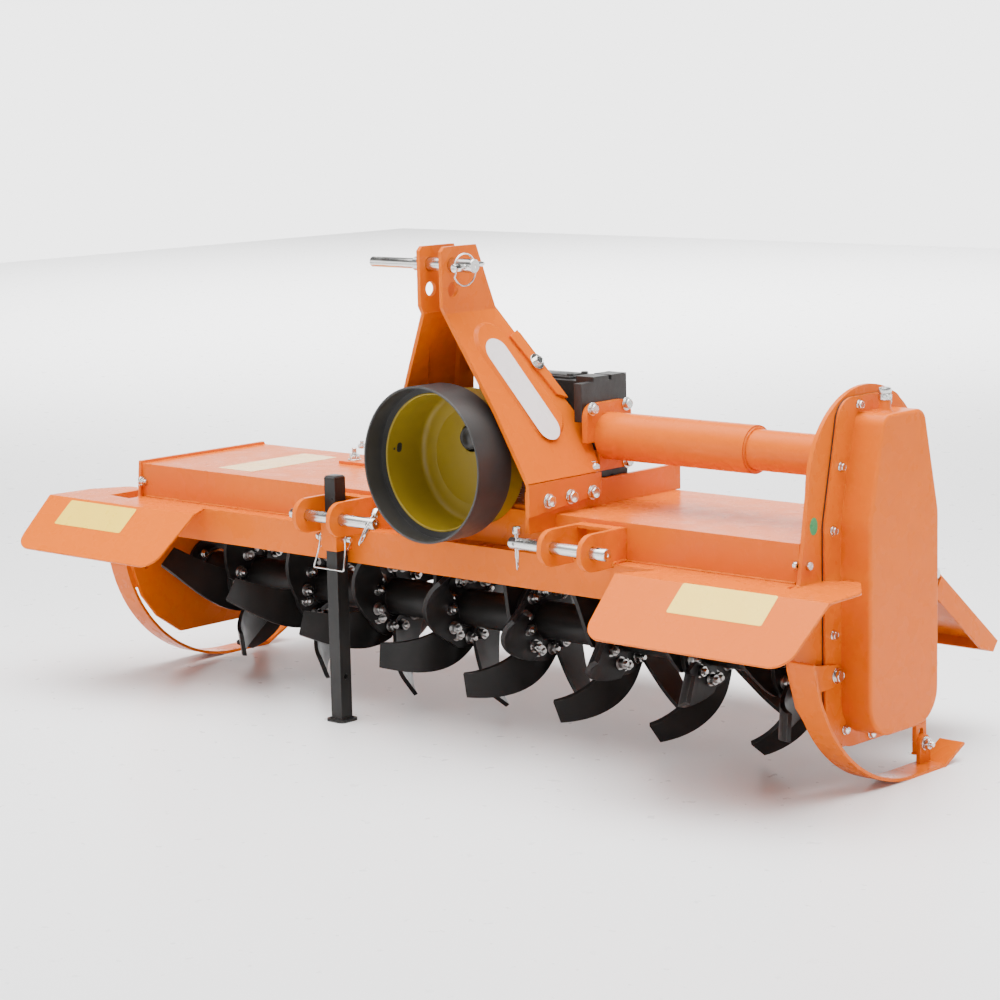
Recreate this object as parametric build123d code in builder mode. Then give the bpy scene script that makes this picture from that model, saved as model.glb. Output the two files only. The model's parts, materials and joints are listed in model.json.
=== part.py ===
from build123d import *
from math import atan2, cos, radians, sin, tan
import os

os.makedirs("parts", exist_ok=True)

# A tractor-mounted rotavator. +Z is up, -Y is the tractor's side, +X is the side of the chain case.
# The floor is Z = 0, and the origin is the middle of the machine's footprint.

# ------------------------------------------------------------------ driving sizes, in millimetres
# Reach to each side of the hitch's middle plane: the deck, and the guards beyond its ends
deck_reach_left = 931.0
deck_reach_right = 729.0
guard_beyond_left = 179.0
guard_beyond_right = 133.0
guard_reach_left = deck_reach_left + guard_beyond_left
guard_reach_right = deck_reach_right + guard_beyond_right

# Depths that set the reach to the front and to the rear
beam_nose = 37.0
guard_strip = 63.0
guard_slope = 41.0
guard_panel = 140.0
deck_depth = 341.0
slope_depth = 60.0
board_set_back = 9.0
board_angle = 39.0
board_span = 261.0
board_knuckle = 9.0
reach_front = beam_nose + guard_strip + guard_panel * cos(radians(guard_slope))
board_reach = board_span * cos(radians(board_angle)) + board_knuckle * sin(radians(board_angle))
reach_rear = deck_depth + slope_depth + board_set_back + board_reach

hitch_x = (guard_reach_left - guard_reach_right) / 2
deck_front = (reach_front - reach_rear) / 2
deck_left = hitch_x - deck_reach_left
deck_right = hitch_x + deck_reach_right

# Deck: a folded sheet with a lip at its front and a slope at its rear
sheet = 4.0
deck_top = 438.0
slope_drop = 100.0
deck_rear = deck_front + deck_depth
slope_y = deck_rear + slope_depth
slope_z = deck_top - slope_drop

# Front beam: a box tube below the lip
beam_height = 65.0
beam_depth = 40.0
beam_wall = 4.0
beam_top = 370.0
beam_face = deck_front - beam_nose
beam_rear = beam_face + beam_depth

# Side plates and chain case
plate = 8.0
plate_rise = 5.0
spare_hole_z = 225.0
case_mid = deck_front + 199.0
case_gasket = 3.0
case_flange = 4.0
case_flange_half = 147.0
case_half = 102.0
case_head = 60.0
case_flange_head = 86.0
case_knee = 462.0
case_edge = 6.0
foot_round = 62.0
knee_round = 60.0
head_round = 24.0
flange_grow = 20.0
gasket_width = 16.0
case_depth = 60.0
case_wall = 4.0
case_top = 642.0
case_bottom = 94.0
flange_top = 670.0
flange_bottom = 72.0
arch_radius = 166.0
arch_y = deck_front + 183.0
arch_z = 520.0
plate_out_left = deck_left - plate
plate_out_right = deck_right + plate
gasket_out = plate_out_right + case_gasket
flange_out = gasket_out + case_flange

# Rotor
rotor_y = deck_front + 170.0
rotor_z = 198.0
rotor_tube_radius = 36.0
stub_radius = 22.0
rotor_gap = 6.0
bearing_radius = 61.0
bearing_depth = 26.0
shaft_fit = 0.05
disc_count = 8
disc_margin_left = 150.0
disc_margin_right = 124.0
disc_first = deck_left + disc_margin_left
disc_pitch = (deck_right - disc_margin_right - disc_first) / (disc_count - 1)
disc_radius = 80.0
disc_thick = 8.0
disc_twist = 15.0
first_blade = 210.0

# Blades: flat on the disc, then bent to one side about a line that is nearly radial
blades_per_side = 3
blade_thick = 8.0
blade_bend = 165.0
blade_bend_from = 5.0
blade_bend_angle = 60.0
blade_bend_tilt = 10.0
blade_low = 10.0
blade_high = 130.0
blade_back = 42.0

# Gearbox, its tray and the axle tube
drive_y = deck_front + 158.0
drive_z = 561.0
tray_left = 155.0
tray_right = 195.0
tray_rear = deck_front + 355.0
tray_front = deck_front + 6.0
tray_height = 48.0
tray_wall = 8.0
tray_top = deck_top + tray_height
tray_nose = deck_front - 72.0
tray_nose_z = 412.0
gearbox_left = hitch_x - 105.0
gearbox_right = hitch_x + tray_right - 17.0
gearbox_front = deck_front + 130.0
gearbox_rear = deck_front + 222.0
shoulder = 18.0
shoulder_front = deck_front + 96.0
shoulder_bottom = 590.0
neck_radius = 68.0
neck_depth = 95.0
seal_length = 16.0
shaft_depth = 50.0
gearbox_top = 660.0
gearbox_bottom = 486.0
boss = 42.0
boss_height = 9.0
tube_flange = 12.0
tube_flange_width = 124.0
flange_round = 24.0
flange_gap = 4.0
relief_top = drive_z - 8.0
tube_radius = 43.0
tube_wall = 5.0
tube_length = 334.0
thin_tube_radius = 36.0

# Drive shaft end and its shield
spline_radius = 17.5
spline_root = 14.8
spline_width = 8.6
spline_count = 6
spline_length = 30.0
shaft_front = deck_front - 14.0
seal_radius = 40.0
shield_z = 527.0
shield_radius = 126.0
shield_wall = 3.5
shield_front = deck_front - 100.0
shield_rear = deck_front - 3.0
shield_hole = 62.0
shaft_hole = 26.0
skirt_radius = 142.0
skirt_wall = 4.0
skirt_front = deck_front - 141.0
skirt_seat = 8.0
skirt_rear_left = shield_front + skirt_seat
skirt_rear_right = deck_front - 56.0

# Tower: two bent plates, from a narrow head down to the tray's sides. The left one stands steeper.
tower_plate = 8.0
tower_gap = 46.0
tower_knee_z = gearbox_top + 133.0
tower_head = 121.0
tower_head_z = tower_knee_z + tower_head
tower_foot_z = 498.0
tower_base_z = 443.0
head_front = deck_front - 105.0
head_rear = deck_front - 15.0
knee_rear = deck_front + 35.0
tower_rear = deck_front + 125.0
top_pin_y = deck_front - 78.0
top_pin_z = tower_head_z - 33.0
top_pin_step = 44.0
top_pin_radius = 12.7
top_pin_thin = 9.5
top_pin_reach = 168.0
top_pin_shoulder = 36.0
top_pin_head = 92.0
top_pin_nose = 22.0
pin_play = 0.3
foot_bolt_y = deck_front - 28.0
foot_bolt_pitch = 60.0
foot_bolt_z = 466.0
bolt_hole = 7.0
brace_sheet = 5.0
brace_tab = 20.0
brace_gap = 2.2

# Raised pad pressed into each leaning plate
pad_rise = 5.0
pad_slope = 50.0
pad_radius = 44.0
pad_length = 158.0
pad_y = deck_front + 11.0
pad_drop = 146.0
pad_turn = 18.4

# Lower hitch
ear_thick = 10.0
ear_spread = 91.0
ear_x = 307.5
lower_pin_y = deck_front - 90.0
lower_pin_z = 397.0
lower_pin_radius = 11.0
lower_pin_length = 222.0
ear_radius = 33.0
ear_rear = deck_front
ear_cap = 26.0
ear_cap_thick = 6.0

# Parking stand
stand_size = 28.0
stand_wall = 3.0
sleeve_wall = 6.0
sleeve_play = 0.3
sleeve_bottom = 331.0
sleeve_top = 384.0
stand_top = 469.0
stand_foot = 48.0
stand_foot_thick = 5.0
stand_hole = 5.5
stand_hole_z = 87.0

# Guards beside the lower hitch
guard_sheet = 4.0
guard_top = beam_top
guard_round = 40.0
guard_cut = 12.0
guard_inner_left = deck_reach_left - 267.0
guard_inner_right = deck_reach_right - 314.0
lobe_side = 46.0
lobe_reach = 84.0
lobe_width = 50.0
lobe_taper = 8.0
lobe_round = 24.0
slot_width = 62.0
slot_front = 30.0
slot_lip = 26.0

# Skids
skid_width = 50.0
skid_thick = 6.0
skid_radius = 291.0
skid_low_y = deck_front + 240.0
skid_flat = 100.0
skid_tail = 62.0
skid_tail_angle = 26.0
lug = 6.0
lug_bolt_y = deck_front + 76.0
lug_bolt_z = 205.0
lug_radius = 18.0
bar_y = deck_front + 325.0
bar_width = 32.0
bar_low = 22.0
bar_high = 192.0
bar_hole_pitch = 20.0
rear_bolt_z = 40.0

# Rear board
board_hinge_y = slope_y + board_set_back
board_hinge_z = slope_z - 12.0
board_pin = 5.0
board_lip = 24.0
board_flange = 40.0
board_flange_from = 26.0
board_margin = 7.0

# Plate bolted to the deck's top, left of the gearbox
top_plate_left = hitch_x - 585.0
top_plate_length = 150.0
top_plate_width = 46.0
top_plate_y = deck_front + 248.0
top_plate_sheet = 6.0


# ------------------------------------------------------------------ deck, beam and side plates
def side_outline(front_top):
    """Outline of a side plate's skirt around the rotor, from the top front corner down and round."""
    return [
        front_top,
        (deck_front - 8, beam_top),
        (beam_face, beam_top - 6),
        (beam_face, 232),
        (deck_front - 13, 163),
        (deck_front + 26, 114),
        (deck_front + 87, 73),
    ]


with BuildPart() as deck:
    with BuildSketch(Plane.YZ.offset(deck_left)):
        with BuildLine():
            Polyline(
                (deck_front, beam_top),
                (deck_front, deck_top),
                (deck_rear, deck_top),
                (slope_y, slope_z),
                (slope_y - sheet, slope_z),
                (deck_rear - sheet / 2, deck_top - sheet),
                (deck_front + sheet, deck_top - sheet),
                (deck_front + sheet, beam_top),
                close=True,
            )
        make_face()
    extrude(amount=deck_right - deck_left)
deck.part.label = "deck"
export_step(deck.part, "parts/deck.step")

with BuildPart() as front_beam:
    with BuildSketch(Plane.YZ.offset(deck_left)):
        with Locations(((beam_face + beam_rear) / 2, beam_top - beam_height / 2)):
            Rectangle(beam_depth, beam_height)
            Rectangle(beam_depth - 2 * beam_wall, beam_height - 2 * beam_wall, mode=Mode.SUBTRACT)
    extrude(amount=deck_right - deck_left)
front_beam.part.label = "front_beam"
export_step(front_beam.part, "parts/front_beam.step")

with BuildPart() as side_plate_left:
    with BuildSketch(Plane.YZ.offset(plate_out_left)):
        with BuildLine():
            skirt = Polyline(
                *side_outline((deck_front - 2, deck_top + plate_rise)),
                (deck_front + 290, 73),
                (deck_front + 330, 110),
                (slope_y - 6, slope_z),
                (deck_rear, deck_top + plate_rise),
                close=True,
            )
        make_face()
        with Locations((rotor_y, rotor_z)):
            Circle(stub_radius + 6, mode=Mode.SUBTRACT)
        with Locations((deck_front, spare_hole_z)):
            Circle(bolt_hole, mode=Mode.SUBTRACT)
    extrude(amount=plate)
side_plate_left.part.label = "side_plate_left"
export_step(side_plate_left.part, "parts/side_plate_left.step")

with BuildPart() as back_plate:
    with BuildSketch(Plane.YZ.offset(deck_right)):
        with BuildLine():
            Polyline(
                (arch_y - arch_radius, arch_z),
                *side_outline((deck_front - 3, 400)),
                (deck_front + 300, 73),
                (arch_y + arch_radius, 140),
                (arch_y + arch_radius, arch_z),
            )
            RadiusArc((arch_y - arch_radius, arch_z), (arch_y + arch_radius, arch_z), arch_radius)
        make_face()
        with Locations((rotor_y, rotor_z)):
            Circle(stub_radius + 6, mode=Mode.SUBTRACT)
    extrude(amount=plate)
back_plate.part.label = "back_plate"
export_step(back_plate.part, "parts/back_plate.step")


# ------------------------------------------------------------------ chain case
def case_outline(half, low, high, head_mid, head):
    """Points of the tall case: straight sides, shoulders that lean in, and a flat head."""
    return [
        (case_mid - half, low),
        (case_mid - half, case_knee),
        (head_mid - head, high),
        (head_mid + head, high),
        (case_mid + half, case_knee),
        (case_mid + half, low),
    ]


def round_case(sketch, grow):
    """Rounds the foot, the knees and the head of a case outline."""
    for first, last, radius in ((0, 2, foot_round), (-4, -2, knee_round), (-2, None, head_round)):
        fillet(sketch.vertices().sort_by(Axis.Y)[first:last], radius + grow)


with BuildPart() as chain_gasket:
    with BuildSketch(Plane.YZ.offset(plate_out_right)) as gasket_outline:
        with BuildLine():
            Polyline(*case_outline(case_flange_half, flange_bottom, flange_top, arch_y, case_flange_head), close=True)
        make_face()
        round_case(gasket_outline, flange_grow)
        offset(amount=-gasket_width, mode=Mode.SUBTRACT)
    extrude(amount=case_gasket)
chain_gasket.part.label = "chain_gasket"
export_step(chain_gasket.part, "parts/chain_gasket.step")

with BuildPart() as chain_cover:
    with BuildSketch(Plane.YZ.offset(gasket_out)) as flange_outline:
        with BuildLine():
            Polyline(*case_outline(case_flange_half, flange_bottom, flange_top, arch_y, case_flange_head), close=True)
        make_face()
        round_case(flange_outline, flange_grow)
    extrude(amount=case_flange)
    with BuildSketch(Plane.YZ.offset(flange_out)) as shell_outline:
        with BuildLine():
            Polyline(*case_outline(case_half, case_bottom, case_top, case_mid, case_head), close=True)
        make_face()
        round_case(shell_outline, 0)
    extrude(amount=case_depth)
    fillet(chain_cover.faces().sort_by(Axis.X)[-1].edges(), case_edge)
    with BuildSketch(Plane.YZ.offset(gasket_out)) as hollow_outline:
        with BuildLine():
            Polyline(*case_outline(case_half, case_bottom, case_top, case_mid, case_head), close=True)
        make_face()
        round_case(hollow_outline, 0)
        offset(amount=-case_wall, mode=Mode.REPLACE)
    extrude(amount=case_flange + case_depth - case_wall, mode=Mode.SUBTRACT)
chain_cover.part.label = "chain_cover"
export_step(chain_cover.part, "parts/chain_cover.step")

with BuildPart() as filler_plug:
    with BuildSketch(Plane.XY.offset(case_top)):
        with Locations((flange_out + case_depth / 2, case_mid - 16)):
            Circle(9)
    extrude(amount=22)
    with BuildSketch(Plane.XY.offset(case_top + 22)):
        with Locations((flange_out + case_depth / 2, case_mid - 16)):
            RegularPolygon(14, 6)
    extrude(amount=20)
filler_plug.part.label = "filler_plug"
export_step(filler_plug.part, "parts/filler_plug.step")

# ------------------------------------------------------------------ gearbox, tray and axle tube
tray_width = tray_left + tray_right
tray_mid = hitch_x + (tray_right - tray_left) / 2
with BuildPart() as gearbox_tray:
    with BuildSketch(Plane.XZ.offset(-tray_rear)):
        with Locations((tray_mid, deck_top + tray_height / 2)):
            Rectangle(tray_width, tray_height)
        with Locations((tray_mid, deck_top + tray_height / 2 + tray_wall)):
            Rectangle(tray_width - 2 * tray_wall, tray_height, mode=Mode.SUBTRACT)
    extrude(amount=tray_rear - tray_front)
    for wall_x in (hitch_x - tray_left, hitch_x + tray_right - tray_wall):
        with BuildSketch(Plane.YZ.offset(wall_x)):
            with BuildLine():
                Polyline(
                    (tray_nose, tray_nose_z),
                    (tray_nose, tray_top),
                    (tray_front, tray_top),
                    (tray_front, deck_top),
                    (deck_front, deck_top),
                    (deck_front, tray_nose_z),
                    close=True,
                )
            make_face()
        extrude(amount=tray_wall)
gearbox_tray.part.label = "gearbox_tray"
export_step(gearbox_tray.part, "parts/gearbox_tray.step")

with BuildPart() as deck_plate:
    with BuildSketch(Plane.XY.offset(deck_top)):
        with Locations((top_plate_left + top_plate_length / 2, top_plate_y)):
            Rectangle(top_plate_length, top_plate_width)
    extrude(amount=top_plate_sheet)
deck_plate.part.label = "deck_plate"
export_step(deck_plate.part, "parts/deck_plate.step")

gearbox_face = gearbox_front - neck_depth
gearbox_mid = (gearbox_left + gearbox_right) / 2
gearbox_width = gearbox_right - gearbox_left
gearbox_y = (gearbox_front + gearbox_rear) / 2
gearbox_depth = gearbox_rear - gearbox_front
tray_floor = deck_top + tray_wall
with BuildPart() as gearbox:
    with BuildSketch(Plane.XY.offset(gearbox_bottom)):
        with Locations((gearbox_mid, gearbox_y)):
            Rectangle(gearbox_width, gearbox_depth)
    extrude(amount=gearbox_top - gearbox_bottom)
    for level, height in ((tray_floor, gearbox_bottom - tray_floor), (gearbox_top, boss_height)):
        with BuildSketch(Plane.XY.offset(level)):
            with Locations((gearbox_mid, gearbox_y)):
                with GridLocations(gearbox_width - boss, gearbox_depth - boss, 2, 2):
                    Rectangle(boss, boss)
        extrude(amount=height)
    with BuildSketch(Plane.XY.offset(shoulder_bottom)):
        with Locations((gearbox_right - shoulder / 2, (shoulder_front + gearbox_front) / 2)):
            Rectangle(shoulder, gearbox_front - shoulder_front)
    extrude(amount=gearbox_top - shoulder_bottom)
    with BuildSketch(Plane.XZ.offset(-gearbox_front)):
        with Locations((hitch_x, drive_z)):
            Circle(neck_radius)
    extrude(amount=neck_depth)
    with BuildSketch(Plane.XZ.offset(-gearbox_face)):
        with Locations((hitch_x, drive_z)):
            Circle(seal_radius)
    extrude(amount=seal_length)
    with BuildSketch(Plane.XZ.offset(-(gearbox_face + shaft_depth))):
        with Locations((hitch_x, drive_z)):
            Circle(spline_radius + shaft_fit)
    extrude(amount=shaft_depth + seal_length, mode=Mode.SUBTRACT)
gearbox.part.label = "gearbox"
export_step(gearbox.part, "parts/gearbox.step")

with BuildPart() as axle_tube:
    with BuildSketch(Plane.YZ.offset(gearbox_right)):
        with Locations((drive_y, drive_z)):
            RectangleRounded(tube_flange_width, tube_flange_width, flange_round)
            Circle(tube_radius - tube_wall, mode=Mode.SUBTRACT)
        with Locations((tower_rear + flange_gap - tube_flange_width / 2, relief_top - tube_flange_width / 2)):
            Rectangle(tube_flange_width, tube_flange_width, mode=Mode.SUBTRACT)
    extrude(amount=tube_flange)
    with BuildSketch(Plane.YZ.offset(gearbox_right + tube_flange)):
        with Locations((drive_y, drive_z)):
            Circle(tube_radius)
            Circle(tube_radius - tube_wall, mode=Mode.SUBTRACT)
    extrude(amount=tube_length)
axle_tube.part.label = "axle_tube"
export_step(axle_tube.part, "parts/axle_tube.step")

thin_tube_left = gearbox_right + tube_flange + tube_length - 60
with BuildPart() as axle_tube_end:
    with BuildSketch(Plane.YZ.offset(thin_tube_left)):
        with Locations((drive_y, drive_z)):
            Circle(thin_tube_radius)
            Circle(thin_tube_radius - tube_wall, mode=Mode.SUBTRACT)
    extrude(amount=deck_right - thin_tube_left)
    with BuildSketch(Plane.YZ.offset(gearbox_right + tube_flange + tube_length - 12)):
        with Locations((drive_y, drive_z)):
            Circle(tube_radius - tube_wall)
            Circle(thin_tube_radius - tube_wall, mode=Mode.SUBTRACT)
    extrude(amount=12)
axle_tube_end.part.label = "axle_tube_end"
export_step(axle_tube_end.part, "parts/axle_tube_end.step")

# ------------------------------------------------------------------ input shaft and its shield
with BuildPart() as input_shaft:
    with BuildSketch(Plane.XZ.offset(-(gearbox_face + shaft_depth))):
        with Locations((hitch_x, drive_z)):
            Circle(spline_radius)
    extrude(amount=gearbox_face + shaft_depth - shaft_front - spline_length)
    with BuildSketch(Plane.XZ.offset(-(shaft_front + spline_length))):
        with Locations((hitch_x, drive_z)):
            Circle(spline_root)
        with Locations((hitch_x, drive_z)):
            with PolarLocations(0, spline_count // 2, 0, 180):
                Rectangle(2 * spline_radius - 0.4, spline_width)
    extrude(amount=spline_length)
input_shaft.part.label = "input_shaft"
export_step(input_shaft.part, "parts/input_shaft.step")

with BuildPart() as shaft_shield:
    with BuildSketch(Plane.XZ.offset(-shield_rear)):
        with Locations((hitch_x, shield_z)):
            Circle(shield_radius)
    extrude(amount=shield_rear - shield_front)
    with BuildSketch(Plane.XZ.offset(-(shield_rear - shield_wall))):
        with Locations((hitch_x, shield_z)):
            Circle(shield_radius - shield_wall)
    extrude(amount=shield_rear - shield_front, mode=Mode.SUBTRACT)
    with BuildSketch(Plane.XZ.offset(-shield_rear)):
        with Locations((hitch_x, drive_z)):
            Circle(shaft_hole)
    extrude(amount=shield_wall, mode=Mode.SUBTRACT)
    with BuildSketch(Plane.XZ.offset(-gearbox_face)):
        with Locations((hitch_x, drive_z)):
            Circle(shield_hole + shield_wall)
            Circle(shield_hole, mode=Mode.SUBTRACT)
    extrude(amount=gearbox_face - shield_rear)
shaft_shield.part.label = "shaft_shield"
export_step(shaft_shield.part, "parts/shaft_shield.step")

with BuildPart() as shield_skirt:
    with BuildSketch(Plane.XZ.offset(-skirt_rear_right)):
        with Locations((hitch_x, shield_z)):
            Circle(skirt_radius)
            Circle(skirt_radius - skirt_wall, mode=Mode.SUBTRACT)
    extrude(amount=skirt_rear_right - skirt_front)
    with BuildSketch(Plane.XZ.offset(-skirt_rear_left)):
        with Locations((hitch_x, shield_z)):
            Circle(skirt_radius)
            Circle(shield_radius + sleeve_play, mode=Mode.SUBTRACT)
    extrude(amount=skirt_seat)
    with BuildSketch(Plane.XY.offset(shield_z - skirt_radius)):
        with BuildLine():
            Polyline(
                (hitch_x - skirt_radius, skirt_rear_left),
                (hitch_x + skirt_radius, skirt_rear_right),
                (hitch_x - skirt_radius, skirt_rear_right),
                close=True,
            )
        make_face()
    extrude(amount=2 * skirt_radius, mode=Mode.SUBTRACT)
shield_skirt.part.label = "shield_skirt"
export_step(shield_skirt.part, "parts/shield_skirt.step")

# ------------------------------------------------------------------ tower
# Each plate is three flats: a head, a leaning middle and a foot against the tray's side. Both are drawn
# on the right, and the left one is then mirrored.
head_x = hitch_x + tower_gap / 2
lean_rise = tower_knee_z - tower_foot_z


def lean_run(foot):
    """How far a plate leans out, from its head to its foot."""
    return foot - tower_gap / 2


def lean_length(foot):
    """Length of a plate's leaning flat."""
    return (lean_run(foot) ** 2 + lean_rise**2) ** 0.5


def lean_plane(foot):
    """The inner face of a leaning flat: X along the machine's depth, Y up the flat from the knee."""
    return Plane(origin=(head_x, 0, tower_knee_z), x_dir=(0, 1, 0), z_dir=(lean_rise, 0, lean_run(foot)))


for side, name, foot in ((1, "right", tray_right), (-1, "left", tray_left)):
    length = lean_length(foot)
    knee_bend = tower_plate * tan(atan2(lean_run(foot), lean_rise) / 2)
    with BuildPart() as tower:
        with BuildSketch(Plane.YZ.offset(head_x)):
            with BuildLine():
                Polyline(
                    (head_front, tower_head_z - 8),
                    (head_front + 8, tower_head_z),
                    (head_rear, tower_head_z),
                    (knee_rear, tower_knee_z),
                    (head_front + 8, tower_knee_z),
                    (head_front, tower_knee_z + 14),
                    close=True,
                )
            make_face()
            with Locations((top_pin_y, top_pin_z), (top_pin_y, top_pin_z - top_pin_step)):
                Circle(top_pin_radius + pin_play, mode=Mode.SUBTRACT)
        extrude(amount=tower_plate)
        with BuildSketch(lean_plane(foot)):
            with BuildLine():
                Polyline(
                    (head_front + 8, knee_bend),
                    (knee_rear, knee_bend),
                    (tower_rear, -0.7 * length),
                    (tower_rear + 4, -0.8 * length),
                    (deck_front + 118, -length),
                    (deck_front - 78, -length),
                    (deck_front - 80, -0.58 * length),
                    close=True,
                )
            make_face()
        extrude(amount=tower_plate)
        with BuildSketch(lean_plane(foot).offset(tower_plate)):
            with Locations((pad_y, -pad_drop)):
                SlotCenterToCenter(pad_length, 2 * pad_radius, rotation=90 + pad_turn)
        extrude(amount=pad_rise, taper=pad_slope)
        with BuildSketch(lean_plane(foot)):
            with Locations((pad_y, -pad_drop)):
                SlotCenterToCenter(pad_length, 2 * pad_radius - 2 * pad_rise, rotation=90 + pad_turn)
        extrude(amount=pad_rise, taper=pad_slope, mode=Mode.SUBTRACT)
        with BuildSketch(Plane.YZ.offset(hitch_x + foot)):
            with BuildLine():
                Polyline(
                    (deck_front - 78, tower_foot_z + knee_bend),
                    (deck_front + 118, tower_foot_z + knee_bend),
                    (deck_front + 118, tower_base_z + 18),
                    (deck_front - 66, tower_base_z),
                    (deck_front - 78, tower_base_z),
                    close=True,
                )
            make_face()
            with Locations((foot_bolt_y + foot_bolt_pitch, foot_bolt_z)):
                with GridLocations(foot_bolt_pitch, 1, 3, 1):
                    Circle(bolt_hole, mode=Mode.SUBTRACT)
        extrude(amount=tower_plate)
        if side < 0:
            mirror(about=Plane.YZ.offset(hitch_x), mode=Mode.REPLACE)
    tower.part.label = "tower_" + name
    export_step(tower.part, "parts/tower_" + name + ".step")

# A cross plate lies over the rear edges of the leaning plates, with a tab on each outer face.
edge_rise = 0.7 * lean_rise
edge_slope = (tower_rear - knee_rear) / edge_rise
edge_length = (1 + edge_slope**2) ** 0.5
brace_low = tower_knee_z - 168.0
web_low = tower_knee_z - 122.0
brace_high = tower_knee_z - 44.0


def brace_reach(foot, height):
    """Reach of the brace from the hitch's middle at a height: out to a tab's outer face."""
    slant = lean_length(foot) / lean_rise
    inner = tower_gap / 2 + lean_run(foot) * (tower_knee_z - height) / lean_rise
    return inner + (tower_plate + brace_sheet) * slant


def brace_edge(height):
    """Y of the plates' rear edge at a height."""
    return knee_rear + edge_slope * (tower_knee_z - height)


web_plane = Plane(
    origin=(hitch_x, brace_edge(web_low) + brace_gap, web_low),
    x_dir=(-1, 0, 0),
    z_dir=(0, 1 / edge_length, edge_slope / edge_length),
)
web_length = (brace_high - web_low) * edge_length
with BuildPart() as tower_brace:
    with BuildSketch(web_plane):
        with BuildLine():
            Polyline(
                (-brace_reach(tray_right, web_low), 0),
                (brace_reach(tray_left, web_low), 0),
                (brace_reach(tray_left, brace_high), web_length),
                (-brace_reach(tray_right, brace_high), web_length),
                close=True,
            )
        make_face()
    extrude(amount=brace_sheet)
    for side, foot in ((1, tray_right), (-1, tray_left)):
        slant = lean_length(foot) / lean_rise
        high = (brace_high - tower_knee_z) * slant
        low = (brace_low - tower_knee_z) * slant
        with BuildSketch(lean_plane(foot).offset(tower_plate)):
            with BuildLine():
                Polyline(
                    (brace_edge(brace_high) + brace_gap + 2, high),
                    (brace_edge(brace_high) - brace_tab, high - brace_tab / 2),
                    (brace_edge(brace_low) - brace_tab, low + brace_tab / 2),
                    (brace_edge(brace_low) + brace_gap + 2, low),
                    close=True,
                )
            make_face()
        tab = extrude(amount=brace_sheet, mode=Mode.PRIVATE)
        add(tab if side > 0 else mirror(tab, about=Plane.YZ.offset(hitch_x), mode=Mode.PRIVATE))
tower_brace.part.label = "tower_brace"
export_step(tower_brace.part, "parts/tower_brace.step")

pin_left = hitch_x - top_pin_reach
pin_thick_left = hitch_x - top_pin_shoulder
pin_thick_right = hitch_x + top_pin_head
pin_right = pin_thick_right + top_pin_nose
with BuildPart() as top_link_pin:
    with BuildSketch(Plane.YZ.offset(pin_left)):
        with Locations((top_pin_y, top_pin_z)):
            Circle(top_pin_thin)
    extrude(amount=pin_thick_left - pin_left)
    with BuildSketch(Plane.YZ.offset(pin_thick_left)):
        with Locations((top_pin_y, top_pin_z)):
            Circle(top_pin_radius)
    extrude(amount=pin_thick_right - pin_thick_left)
    with BuildSketch(Plane.YZ.offset(pin_thick_right)):
        with Locations((top_pin_y, top_pin_z)):
            Circle(8)
    extrude(amount=pin_right - pin_thick_right)
top_link_pin.part.label = "top_link_pin"
export_step(top_link_pin.part, "parts/top_link_pin.step")

# ------------------------------------------------------------------ lower hitch
for side, name in ((-1, "left"), (1, "right")):
    with BuildPart() as clevis:
        for step in (-1, 1):
            ear_at = hitch_x + side * ear_x + step * ear_spread / 2 - ear_thick / 2
            with BuildSketch(Plane.YZ.offset(ear_at)):
                with Locations((lower_pin_y, lower_pin_z)):
                    Circle(ear_radius)
                with BuildLine():
                    Polyline(
                        (lower_pin_y, lower_pin_z - ear_radius),
                        (beam_face, lower_pin_z - ear_radius),
                        (beam_face, beam_top),
                        (ear_rear, beam_top),
                        (ear_rear, lower_pin_z + ear_radius),
                        (lower_pin_y, lower_pin_z + ear_radius),
                        close=True,
                    )
                make_face()
                with Locations((lower_pin_y, lower_pin_z)):
                    Circle(lower_pin_radius + pin_play, mode=Mode.SUBTRACT)
            extrude(amount=ear_thick)
        with BuildSketch(Plane.XY.offset(lower_pin_z + ear_radius - ear_cap_thick)):
            with Locations((hitch_x + side * ear_x, ear_rear - ear_cap / 2)):
                Rectangle(ear_spread, ear_cap)
        extrude(amount=ear_cap_thick)
    clevis.part.label = "clevis_" + name
    export_step(clevis.part, "parts/clevis_" + name + ".step")

    with BuildPart() as lower_pin:
        with BuildSketch(Plane.YZ.offset(hitch_x + side * 279.5 - lower_pin_length / 2)):
            with Locations((lower_pin_y, lower_pin_z)):
                Circle(lower_pin_radius)
        extrude(amount=lower_pin_length)
    lower_pin.part.label = "lower_pin_" + name
    export_step(lower_pin.part, "parts/lower_pin_" + name + ".step")

# ------------------------------------------------------------------ parking stand
stand_x = hitch_x - ear_x
sleeve_size = stand_size + 2 * (sleeve_wall + sleeve_play)
stand_y = beam_face - sleeve_size / 2
with BuildPart() as stand_sleeve:
    with BuildSketch(Plane.XY.offset(sleeve_bottom)):
        with Locations((stand_x, stand_y)):
            Rectangle(sleeve_size, sleeve_size)
            Rectangle(stand_size + 2 * sleeve_play, stand_size + 2 * sleeve_play, mode=Mode.SUBTRACT)
    extrude(amount=sleeve_top - sleeve_bottom)
stand_sleeve.part.label = "stand_sleeve"
export_step(stand_sleeve.part, "parts/stand_sleeve.step")

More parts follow.
